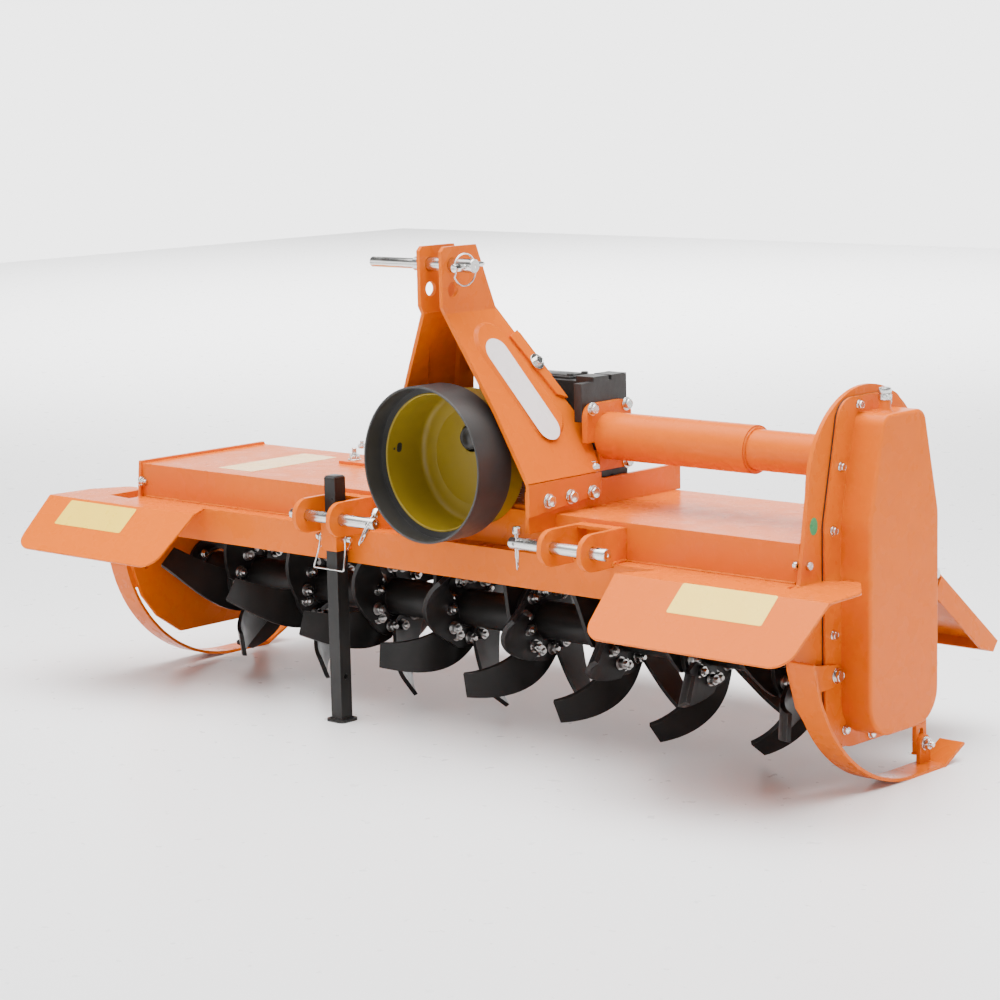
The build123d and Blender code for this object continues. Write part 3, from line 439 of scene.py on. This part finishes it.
# the sky is brightest at the horizon and dark overhead
world = bpy.data.worlds.new("studio")
bpy.context.scene.world = world
world.use_nodes = True
sky = world.node_tree
direction = node(sky, "ShaderNodeTexCoord")
height = node(sky, "ShaderNodeSeparateXYZ")
sky.links.new(direction.outputs["Generated"], height.inputs[0])
total = node(sky, "ShaderNodeMath", operation="ADD")
for socket, band in ((0, (0.15, 0.35, 2.6, 0.12)), (1, (0.02, 0.06, 1.2, 0.0))):
    sky.links.new(map_range(sky, height.outputs["Z"], band), total.inputs[socket])
sky.links.new(total.outputs[0], sky.nodes["Background"].inputs["Strength"])
sky.nodes["Background"].inputs["Color"].default_value = (1, 1, 1, 1)


def softbox(name, point, target, size_x, size_y, power, fan=180):
    """A rectangular light at a point, turned to a target."""
    light = bpy.data.lights.new(name, "AREA")
    light.shape = "RECTANGLE"
    light.size, light.size_y = size_x, size_y
    light.energy = power
    light.spread = math.radians(fan)
    o = bpy.data.objects.new(name, light)
    bpy.context.scene.collection.objects.link(o)
    o.location = point
    o.rotation_euler = (target - point).to_track_quat("-Z", "Y").to_euler()


machine = at(0, 150, 400)
softbox("key", at(-1600, -3600, 3300), machine, 2.6, 2.2, 20)
softbox("top", at(0, 100, 3800), machine, 6.5, 6.5, 520, fan=100)
softbox("rear", at(-1500, 4200, 2400), machine, 3.5, 1.8, 20)
softbox("far_floor", at(-5500, 6500, 5200), at(-6500, 7500, 0), 9.0, 9.0, 2100, fan=110)

# ---------------------------------------------------------------- bolts of the chain case and the side plates
CASE_BOLTS = ((150, 655), (230, 653), (97, 556), (301, 556), (74, 451), (324, 451), (74, 274), (324, 274),
              (106, 105), (292, 105), (182, 84), (216, 84))
bm = bmesh.new()
for y, z in CASE_BOLTS:
    bolt_head(bm, at(FLANGE, y, z), X, 0.0065, 0.0060, washer=0.0085, turn=y * 0.7)
bolt_head(bm, at(BACK_FACE, 14, 400), X, 0.0070, 0.0060, turn=0.4)
nut_end(bm, at(RIGHT_WALL, -3, 402), -X, 0.0070, 0.0070, 0.0, 0.004, 0.003)
bolt_head(bm, at(LEFT_FACE, 6, 401), -X, 0.0070, 0.0060, turn=0.4)
nut_end(bm, at(LEFT_WALL, -3, 401), X, 0.0085, 0.0080, 0.0105, 0.0045, 0.005)
piece("case_bolts", bm, "zinc")

# the breather on its boss, and a level plug at the back of the case
plug_lo, plug_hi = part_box("filler_plug")
plug = place(Vector(((plug_lo.x + plug_hi.x) / 2, (plug_lo.y + plug_hi.y) / 2, plug_lo.z)), Z)
side = hexagon(0.0106, 1.13)
bm = bmesh.new()
lathe(bm, plug, [(0.0086, 0.0195), (0.0104, 0.0199), (side, 0.0207), (side, 0.0288), (0.0104, 0.0297),
                 (0.0094, 0.0299), (0.0098, 0.0307), (0.0112, 0.0316), (0.0113, 0.0380), (0.0102, 0.0400),
                 (0.0070, 0.0412), (0.0020, 0.0410)], 36)
breather = piece("breather_plug", bm, "zinc")
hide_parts("filler_plug")
bm = bmesh.new()
lathe(bm, plug, [(0.0150, -0.0005), (0.0125, 0.0015), (0.0107, 0.0050), (0.0101, 0.0100), (0.0099, 0.0185),
                 (0.0090, 0.0195)], 32)
piece("breather_boss", bm, "orange_paint")
bm = bmesh.new()
lathe(bm, place(at(788, 301, 190), Y), [(0.0115, -0.0004), (0.0112, 0.002), (0.0100, 0.0024),
                                        (0.0085, 0.0026)], 28)
bolt_head(bm, at(788, 303.2, 190), Y, 0.0080, 0.0080, turn=0.2)
piece("level_plug", bm, "zinc")

# a blank oval sticker on the back plate
bm = bmesh.new()
oval = [(0.0110 * math.cos(a * math.pi / 16), 0.0150 * math.sin(a * math.pi / 16)) for a in range(32)]
plate_outline(bm, at(BACK_FACE + LABEL_GAP, 30, 464), Y, Z, oval, FILM_THICK)
piece("round_sticker", bm, "sticker_green")

# ---------------------------------------------------------------- skid bolts, both sides
bm = bmesh.new()
for s, face in ((1, FLANGE), (-1, -LEFT_FACE)):
    out = X * s
    bolt_head(bm, at(s * (face + 6), 76, 205), out, 0.0095, 0.0080, washer=0.0140, turn=0.5)
    bolt_head(bm, at(s * face, 325, 40), -out, 0.0085, 0.0070, turn=0.2)
    nut_end(bm, at(s * (face + 16.3), 325, 40), out, 0.0090, 0.0085, 0.0125, 0.0055, 0.007, turn=0.4)
piece("skid_bolts", bm, "zinc")

# ---------------------------------------------------------------- tower: bolts at its feet and brace, decals
FEET = {1: 195.0, -1: 155.0}    # a plate's foot, from the hitch's middle plane
HALF_GAP = 23                   # the same at its knee, where the lean begins
KNEE_Z, LEAN_RISE = 793, 295.0
TRAY_WALL = 8
FOOT_BOLT_Z = 466
PAD_FACE = 13                   # outer face of the plate's pad, from the plate's inner face
DECAL_R = 0.0280                # radius of a decal's round ends, in metres


def lean_normal(s):
    """The outward direction of the plate on side s."""
    return Vector((s * LEAN_RISE, 0, FEET[s] - HALF_GAP)).normalized()


def lean_point(s, y, z, off):
    """A point on that plate at a height, off millimetres out from its inner face."""
    run = FEET[s] - HALF_GAP
    x = HALF_GAP + run * (KNEE_Z - z) / LEAN_RISE + off * math.hypot(run, LEAN_RISE) / LEAN_RISE
    return at(s * x, y, z)


bm = bmesh.new()
for s in (1, -1):
    out = X * s
    for k, y in enumerate((-28, 32, 92)):
        outside = at(s * (FEET[s] + TRAY_WALL), y, FOOT_BOLT_Z)
        inside = at(s * (FEET[s] - TRAY_WALL), y, FOOT_BOLT_Z)
        bolt_head(bm, outside, out, 0.0098, 0.0085, washer=0.0135, turn=0.2 + k)
        nut_end(bm, inside, -out, 0.0095, 0.008, 0.0125, 0.0055, 0.004)
    bolt_head(bm, lean_point(s, 72, 698, PAD_FACE), lean_normal(s), 0.0085, 0.0070, washer=0.0155, turn=0.5)
    nut_end(bm, lean_point(s, 72, 698, 0), -lean_normal(s), 0.0085, 0.0075, 0.0, 0.0050, 0.006)
piece("tower_bolts", bm, "zinc")

for s in (1, -1):
    top = lean_point(s, -18, 728, PAD_FACE + LABEL_GAP)
    low = lean_point(s, 30, 585, PAD_FACE + LABEL_GAP)
    v = (top - low).normalized()
    half = (top - low).length / 2
    outline = [(DECAL_R * math.cos(a * math.pi / 16), half + DECAL_R * math.sin(a * math.pi / 16) - 0.007)
               for a in range(17)]
    outline += [(-x, -y) for x, y in outline]
    bm = bmesh.new()
    plate_outline(bm, (top + low) / 2, v.cross(lean_normal(s)), v, outline, FILM_THICK)
    piece("tower_decal_right" if s > 0 else "tower_decal_left", bm, "decal_white")

# ---------------------------------------------------------------- blank labels
BEND_Y, BEND_Z = -100, 370      # where the guards bend down
slope = math.radians(41)
down = Vector((0, -math.cos(slope), -math.sin(slope)))
normal = Vector((0, -math.sin(slope), math.cos(slope)))
for side_name, x, wide, below_bend in (("right", 663, 0.197, 32), ("left", -931, 0.205, 38)):
    bm = bmesh.new()
    middle = at(x, BEND_Y, BEND_Z) + down * below_bend / 1000 + normal * LABEL_GAP / 1000
    plate_outline(bm, middle, X, -down, rounded(wide, 0.064, 0.004), FILM_THICK)
    piece("guard_label_" + side_name, bm, "label_yellow")
bm = bmesh.new()
plate_outline(bm, at(-700, 165, DECK_TOP + LABEL_GAP), Y, -X, rounded(0.240, 0.10, 0.004), FILM_THICK)
piece("deck_label", bm, "label_faded")


# ---------------------------------------------------------------- top pin, its linch pin and the lower pins
def bored(name, bm, cutters, finish, node_name):
    """A turned pin with cross holes, shown in place of its CAD node."""
    o = solid_object(name, bm)
    cut_bm = bmesh.new()
    for point, axis, radius, length in cutters:
        lathe(cut_bm, place(point - axis * length / 2, axis), [(radius, 0), (radius, length)], 20)
    cut = solid_object(name + "_cut", cut_bm)
    mod = o.modifiers.new("holes", "BOOLEAN")
    mod.object = cut
    mod.operation = "DIFFERENCE"
    mod.solver = "EXACT"
    apply_modifiers(o)
    bpy.data.objects.remove(cut)
    dress(o, finish, "frame", sharp=30)
    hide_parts(node_name)


def linch(name, hole, shank, ring_normal, centre, reach, wide, stem=0.0155, tip=0.030, wire=0.0016):
    """A linch pin: a tapered shank with a chamfered block, and a spring ring from the block to the tip."""
    bm = bmesh.new()
    m = place(hole, shank)
    lathe(bm, m, [(0.0020, -tip), (0.0034, 0.0015 - tip), (0.0044, 0.0060 - tip), (0.0045, stem - 0.0015),
                  (0.0045, stem)], 20)
    lathe(bm, m, [(0.0060, stem), (0.0078, stem + 0.0017), (0.0080, stem + 0.0045), (0.0080, stem + 0.0115),
                  (0.0074, stem + 0.0140), (0.0050, stem + 0.0153), (0.0020, stem + 0.0157)], 8)
    across = ring_normal.cross(shank).normalized()
    turns = [math.radians(-158 + 316 * i / 32) for i in range(33)]
    ring = [centre - shank * reach * math.cos(a) + across * wide * math.sin(a) for a in turns]
    head = hole + shank * (stem + 0.008)
    ring = [head - across * 0.006] + ring + [head + across * 0.006]
    sweep(bm, smooth_path(ring, 3), wire, squash=1.3)
    piece(name, bm, "zinc")


pin_lo, pin_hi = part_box("top_link_pin")
pin_y, pin_z = (pin_lo.y + pin_hi.y) / 2, (pin_lo.z + pin_hi.z) / 2
thin, thick = 0.0095, 0.0127
end_x = HITCH_X + 0.086
bm = bmesh.new()
lathe(bm, place(Vector((0, pin_y, pin_z)), X),
      [(thin - 0.0016, pin_lo.x), (thin - 0.0004, pin_lo.x + 0.0008), (thin, pin_lo.x + 0.002),
       (thin, HITCH_X - 0.060), (thick - 0.001, HITCH_X - 0.0585), (thick, HITCH_X - 0.0575),
       (thick, end_x - 0.0015), (thick - 0.0012, end_x), (0.0030, end_x), (0.0022, end_x - 0.0012)], 40)
hole = Vector((end_x - 0.013, pin_y, pin_z))
far_hole = Vector((pin_lo.x + 0.010, pin_y, pin_z))
bored("top_pin_turned", bm, [(hole, Y, 0.0048, 0.05), (far_hole, Z, 0.0048, 0.05)], "zinc", "top_link_pin")
linch("top_linch", hole, Vector((0, -1, -0.05)).normalized(), X, hole + Vector((0, -0.013, -0.006)),
      0.0285, 0.0285, stem=0.0270, tip=0.0370, wire=0.0012)

for side_name, s, lean in (("left", -1, math.radians(41)), ("right", 1, 0.0)):
    lo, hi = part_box("lower_pin_" + side_name)
    pin_y, pin_z = (lo.y + hi.y) / 2, (lo.z + hi.z) / 2
    r = (hi.z - lo.z) / 2
    bm = bmesh.new()
    lathe(bm, place(Vector((0, pin_y, pin_z)), X),
          [(r - 0.0018, lo.x), (r - 0.0005, lo.x + 0.0010), (r, lo.x + 0.0025), (r, hi.x - 0.0025),
           (r - 0.0005, hi.x - 0.0010), (r - 0.0018, hi.x), (0.003, hi.x), (0.002, hi.x - 0.0012)], 36)
    inner, outer = (lo.x, hi.x) if s > 0 else (hi.x, lo.x)
    hole = Vector((inner + s * 0.014, pin_y, pin_z))
    outer_hole = Vector((outer - s * 0.018, pin_y, pin_z))
    bored("lower_pin_turned_" + side_name, bm,
          [(hole, Z, 0.0049, 0.05), (outer_hole, Z, 0.0052, 0.05), (hole, Y, 0.0030, 0.05)],
          "zinc", "lower_pin_" + side_name)
    shank = Vector((0, math.sin(lean), math.cos(lean)))
    linch("linch_" + side_name, hole, shank, Vector((0.84, 0.52, 0)), hole - shank * 0.010, 0.036, 0.010)
    ear_face = Vector((HITCH_X + s * (LOWER_PIN_X + EAR_X) / 1000, pin_y, pin_z))
    bm = bmesh.new()
    lathe(bm, place(ear_face, X * s), [(r + 0.0002, 0.0002), (r + 0.0032, 0.0004), (r + 0.0034, 0.0012),
                                       (r + 0.0028, 0.0018), (r + 0.0002, 0.0018)], 36)
    piece("pin_collar_" + side_name, bm, "zinc")

# ---------------------------------------------------------------- stand: lock pin with its wire, cap, welds
stand_lo, stand_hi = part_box("stand_leg")
sleeve_lo, sleeve_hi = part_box("stand_sleeve")
sleeve_x = (sleeve_lo.x + sleeve_hi.x) / 2
lock = Vector((sleeve_x, (sleeve_lo.y + sleeve_hi.y) / 2 - 0.003, sleeve_lo.z + 0.022))
stub = (sleeve_hi.x - sleeve_lo.x) / 2 - 0.001
bm = bmesh.new()
lathe(bm, place(lock + X * stub, X), [(0.0056, 0), (0.0056, 0.0230), (0.0050, 0.0243), (0.0030, 0.0246)], 24)
lathe(bm, place(lock - X * stub, -X), [(0.0056, 0), (0.0056, 0.0195), (0.0072, 0.0200), (0.0076, 0.0212),
                                       (0.0076, 0.0255), (0.0066, 0.0270), (0.0030, 0.0275)], 24)
piece("lock_pin", bm, "zinc")

# half of the wire, from the pin's end round a loop and down to the bar, measured from the pin's middle
bar_z = sleeve_lo.z - 0.0345 - lock.z
strand = [(0.0360, -0.004, -0.019), (0.0350, 0.003, -0.012), (0.0340, 0.0074, -0.002),
          (0.0334, 0.0054, 0.0052), (0.0330, 0.0, 0.0075), (0.0330, -0.0052, 0.0052),
          (0.0334, -0.0076, -0.002), (0.0345, -0.0085, -0.014), (0.0365, -0.0120, -0.030),
          (0.0388, -0.0175, bar_z + 0.009), (0.0396, -0.0190, bar_z + 0.003), (0.0380, -0.0193, bar_z),
          (0.0300, -0.0195, bar_z), (0.0120, -0.0195, bar_z)]
wire = [lock + Vector(p) for p in strand]
wire += [Vector((2 * sleeve_x - p.x, p.y, p.z)) for p in reversed(wire)]
bm = bmesh.new()
sweep(bm, smooth_path(wire, 5), 0.0015)
piece("wire_bail", bm, "zinc")

cx, cy = (stand_lo.x + stand_hi.x) / 2, (stand_lo.y + stand_hi.y) / 2
half, corner = 0.0147, 0.004
bm = bmesh.new()
for low, high, grow in ((0.0, 0.0025, 0.0), (0.0025, 0.0040, -0.0016)):
    shape = rounded(2 * (half + grow), 2 * (half + grow), corner + grow * 0.5)
    plate_outline(bm, Vector((cx, cy, stand_hi.z + low)), X, Y, shape, high - low)
plate_outline(bm, Vector((cx, cy, stand_hi.z - 0.010)), X, Y, rounded(0.0212, 0.0212, 0.003), 0.010)
piece("stand_cap", bm, "plastic_black", body="stand", bevel=0.0006)

bm = bmesh.new()
foot = Vector((cx, cy, stand_lo.z + 0.0055))
corners = [foot + X * a * 0.0142 + Y * b * 0.0142 for a, b in ((-1, -1), (1, -1), (1, 1), (-1, 1))]
bead(bm, corners, 0.0028, closed=True)
piece("stand_welds", bm, "black_paint", body="stand")

# ---------------------------------------------------------------- rotor: bolts, nuts and weld seams
DISCS, SIDE_BLADES = 8, 3
FIRST_DISC, LAST_DISC = 150, 124    # distances of the end discs from the side plates
FIRST_TURN, DISC_TURN = 210, 15     # degrees: the first blade's place, and the step from disc to disc
DISC_HALF = 4                       # half of a disc's thickness
BLADE = 8                           # a blade's thickness
BOLT_RING = 60                      # radius of the blades' bolts
first_x = LEFT_WALL + FIRST_DISC
pitch = (RIGHT_WALL - LAST_DISC - first_x) / (DISCS - 1)
nuts = bmesh.new()
welds = bmesh.new()
for disc in range(DISCS):
    x = first_x + disc * pitch
    for step in range(SIDE_BLADES):
        base_turn = FIRST_TURN + DISC_TURN * disc + 120 * step
        for s, blade_turn in ((-1, base_turn), (1, base_turn + 60)):
            right_face = x + DISC_HALF + (BLADE if s > 0 else 0)
            left_face = x - DISC_HALF - (BLADE if s < 0 else 0)
            for bolt in (blade_turn - 22, blade_turn + 16):
                nut_end(nuts, by_rotor(right_face, BOLT_RING, bolt), X, 0.0092, 0.0095, 0.0128, 0.0055, 0.006,
                        turn=disc * 0.7 + step)
                bolt_head(nuts, by_rotor(left_face, BOLT_RING, bolt), -X, 0.0092, 0.0072,
                          turn=disc + step * 0.4)
    for s in (-1, 1):
        bead(welds, circle(at(x + s * 4.6, ROTOR_Y, ROTOR_Z), Y, Z, 0.037, 28), 0.0032, closed=True)
piece("blade_bolts", nuts, "bare_steel", body="rotor")
piece("rotor_welds", welds, "black_paint", body="rotor")

BEARING, BEARING_RING = 26, 49      # a bearing's depth, and the radius of its bolts
bm = bmesh.new()
for s, face in ((1, LEFT_WALL + BEARING), (-1, RIGHT_WALL - BEARING)):
    for k in range(4):
        bolt_head(bm, by_rotor(face, BEARING_RING, 45 + 90 * k), X * s, 0.0062, 0.0055, 0.0085)
    lathe(bm, place(at(face, ROTOR_Y, ROTOR_Z), X * s),
          [(0.0405, -0.0005), (0.0405, 0.0030), (0.0385, 0.0042), (0.0350, 0.0042), (0.0340, 0.0030),
           (0.0300, 0.0026)], 40)
piece("bearing_bolts", bm, "zinc")

# ---------------------------------------------------------------- gearbox: lid, axle tube's bolts and welds
LID_X, LID_Y, LID_Z = 36, 176, 664      # the lid's middle and its top
bm = bmesh.new()
plate_outline(bm, at(LID_X, LID_Y, LID_Z - 4), X, Y, rounded(0.150, 0.060, 0.012), 0.0040)
plate_outline(bm, at(LID_X, LID_Y, LID_Z), X, Y, rounded(0.130, 0.044, 0.010), 0.0020)
for x in (-30, 100):
    for y in (LID_Y - 20, LID_Y + 20):
        bolt_head(bm, at(x, y, LID_Z), Z, 0.0060, 0.0050)
piece("gearbox_lid", bm, "cast_housing", bevel=0.0008)

bm = bmesh.new()
for y, z in ((110, 614), (206, 614), (110, 508), (206, 508)):
    bolt_head(bm, at(190.2, y, z), X, 0.0085, 0.0075, washer=0.0125, turn=0.35)
piece("tube_flange_bolts", bm, "zinc")

tube_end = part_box("axle_tube")[1].x
wall_x = HITCH_X + 0.7285
tube_y = FRONT_Y + 0.158
bm = bmesh.new()
bead(bm, circle(Vector((tube_end, tube_y, SHAFT_Z)), Y, Z, 0.0372, 32), 0.0028, closed=True)
bead(bm, circle(Vector((wall_x, tube_y, SHAFT_Z)), Y, Z, 0.0375, 32), 0.0034, closed=True)
piece("tube_welds", bm, "orange_paint")

# ---------------------------------------------------------------- shield, its skirt's edge, the shaft's cap
RIM_R, SKIRT_R, INSIDE_R = 0.1243, 0.1402, 0.12215
shield_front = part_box("shaft_shield")[0].y
bm = bmesh.new()
sweep(bm, circle(Vector((HITCH_X, shield_front + 0.0004, SHIELD_Z)), X, Z, RIM_R, 72), 0.0022, closed=True)
piece("shield_rim", bm, "yellow_plastic")
bm = bmesh.new()
lathe(bm, place(Vector((HITCH_X, FRONT_Y - 0.0067, SHIELD_Z)), -Y),
      [(0.1222, 0.052), (0.1222, 0.0120), (0.1212, 0.0075), (0.1186, 0.0038), (0.1145, 0.0016),
       (0.1090, 0.0008), (0.0900, 0.0004), (0.0890, 0.0)], 64, close=False)
piece("shield_cone", bm, "yellow_plastic")
bm = bmesh.new()
lathe(bm, place(Vector((HITCH_X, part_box("input_shaft")[0].y, SHAFT_Z)), -Y),
      [(0.0200, -0.0080), (0.0208, -0.0070), (0.0208, 0.0), (0.0200, 0.0012), (0.0186, 0.0014),
       (0.0176, 0.0004), (0.0090, 0.0004), (0.0080, 0.0010), (0.0020, 0.0012)], 40)
piece("shaft_cap", bm, "plastic_black", body="drive_shaft")
# painted shade: a thin black film on the shield's inside, in place of a slot and a small hole; no opening is
# cut, the black stands for the shade seen through them
bm = bmesh.new()
for degrees, y_off, half_len, half_wide in ((173.0, 0.0300, 0.0060, 0.0090), (173.5, 0.0170, 0.0022, 0.0022)):
    a = math.radians(degrees)
    around = Vector((-math.sin(a), 0, math.cos(a)))
    spot = Vector((HITCH_X + INSIDE_R * math.cos(a), shield_front + y_off, SHIELD_Z + INSIDE_R * math.sin(a)))
    shape = rounded(2 * half_wide, 2 * half_len, min(half_wide, half_len) * 0.9)
    plate_outline(bm, spot, around, Y, shape, FILM_THICK)
piece("shield_slot_painted_shade", bm, "cast_housing")

skirt_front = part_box("shield_skirt")[0].y
bm = bmesh.new()
sweep(bm, circle(Vector((HITCH_X, skirt_front + 0.0004, SHIELD_Z)), X, Z, SKIRT_R, 96), 0.0017, closed=True)
piece("skirt_edge", bm, "black_rubber")

# ---------------------------------------------------------------- deck: studs on its plate, and one beside it
bm = bmesh.new()
plate_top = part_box("deck_plate")[1].z
for x in (-0.563, -0.470):
    nut_end(bm, Vector((HITCH_X + x, FRONT_Y + 0.248, plate_top)), Z, 0.0095, 0.0090, 0.0140, 0.0052, 0.014)
nut_end(bm, at(-696, 402, 440), Z, 0.0080, 0.0075, 0.0, 0.0045, 0.008)
piece("deck_studs", bm, "zinc")

# ---------------------------------------------------------------- weld seams on the orange frame
EAR_HALF = 5        # half of an ear's thickness
bm = bmesh.new()
for s in (-1, 1):
    for ear in (-EAR_X, EAR_X):
        for face in (-EAR_HALF, EAR_HALF):
            x = s * LOWER_PIN_X + ear + face
            bead(bm, [at(x, -37.5, 367), at(x, -37.5, 372), at(x, -1, 372.5)], 0.0024)
for start, end in ((-920, -360), (360, 722)):
    bead(bm, [at(start, -1, 371), at(end, -1, 371)], 0.0022)
for node_name in ("skid_bar_left", "skid_bar_right"):
    lo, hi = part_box(node_name)
    around_bar = ((lo.x, lo.y), (hi.x, lo.y), (hi.x, hi.y), (lo.x, hi.y))
    bead(bm, [Vector((x, y, lo.z + 0.001)) for x, y in around_bar], 0.0022, closed=True)
piece("frame_welds", bm, "orange_paint")
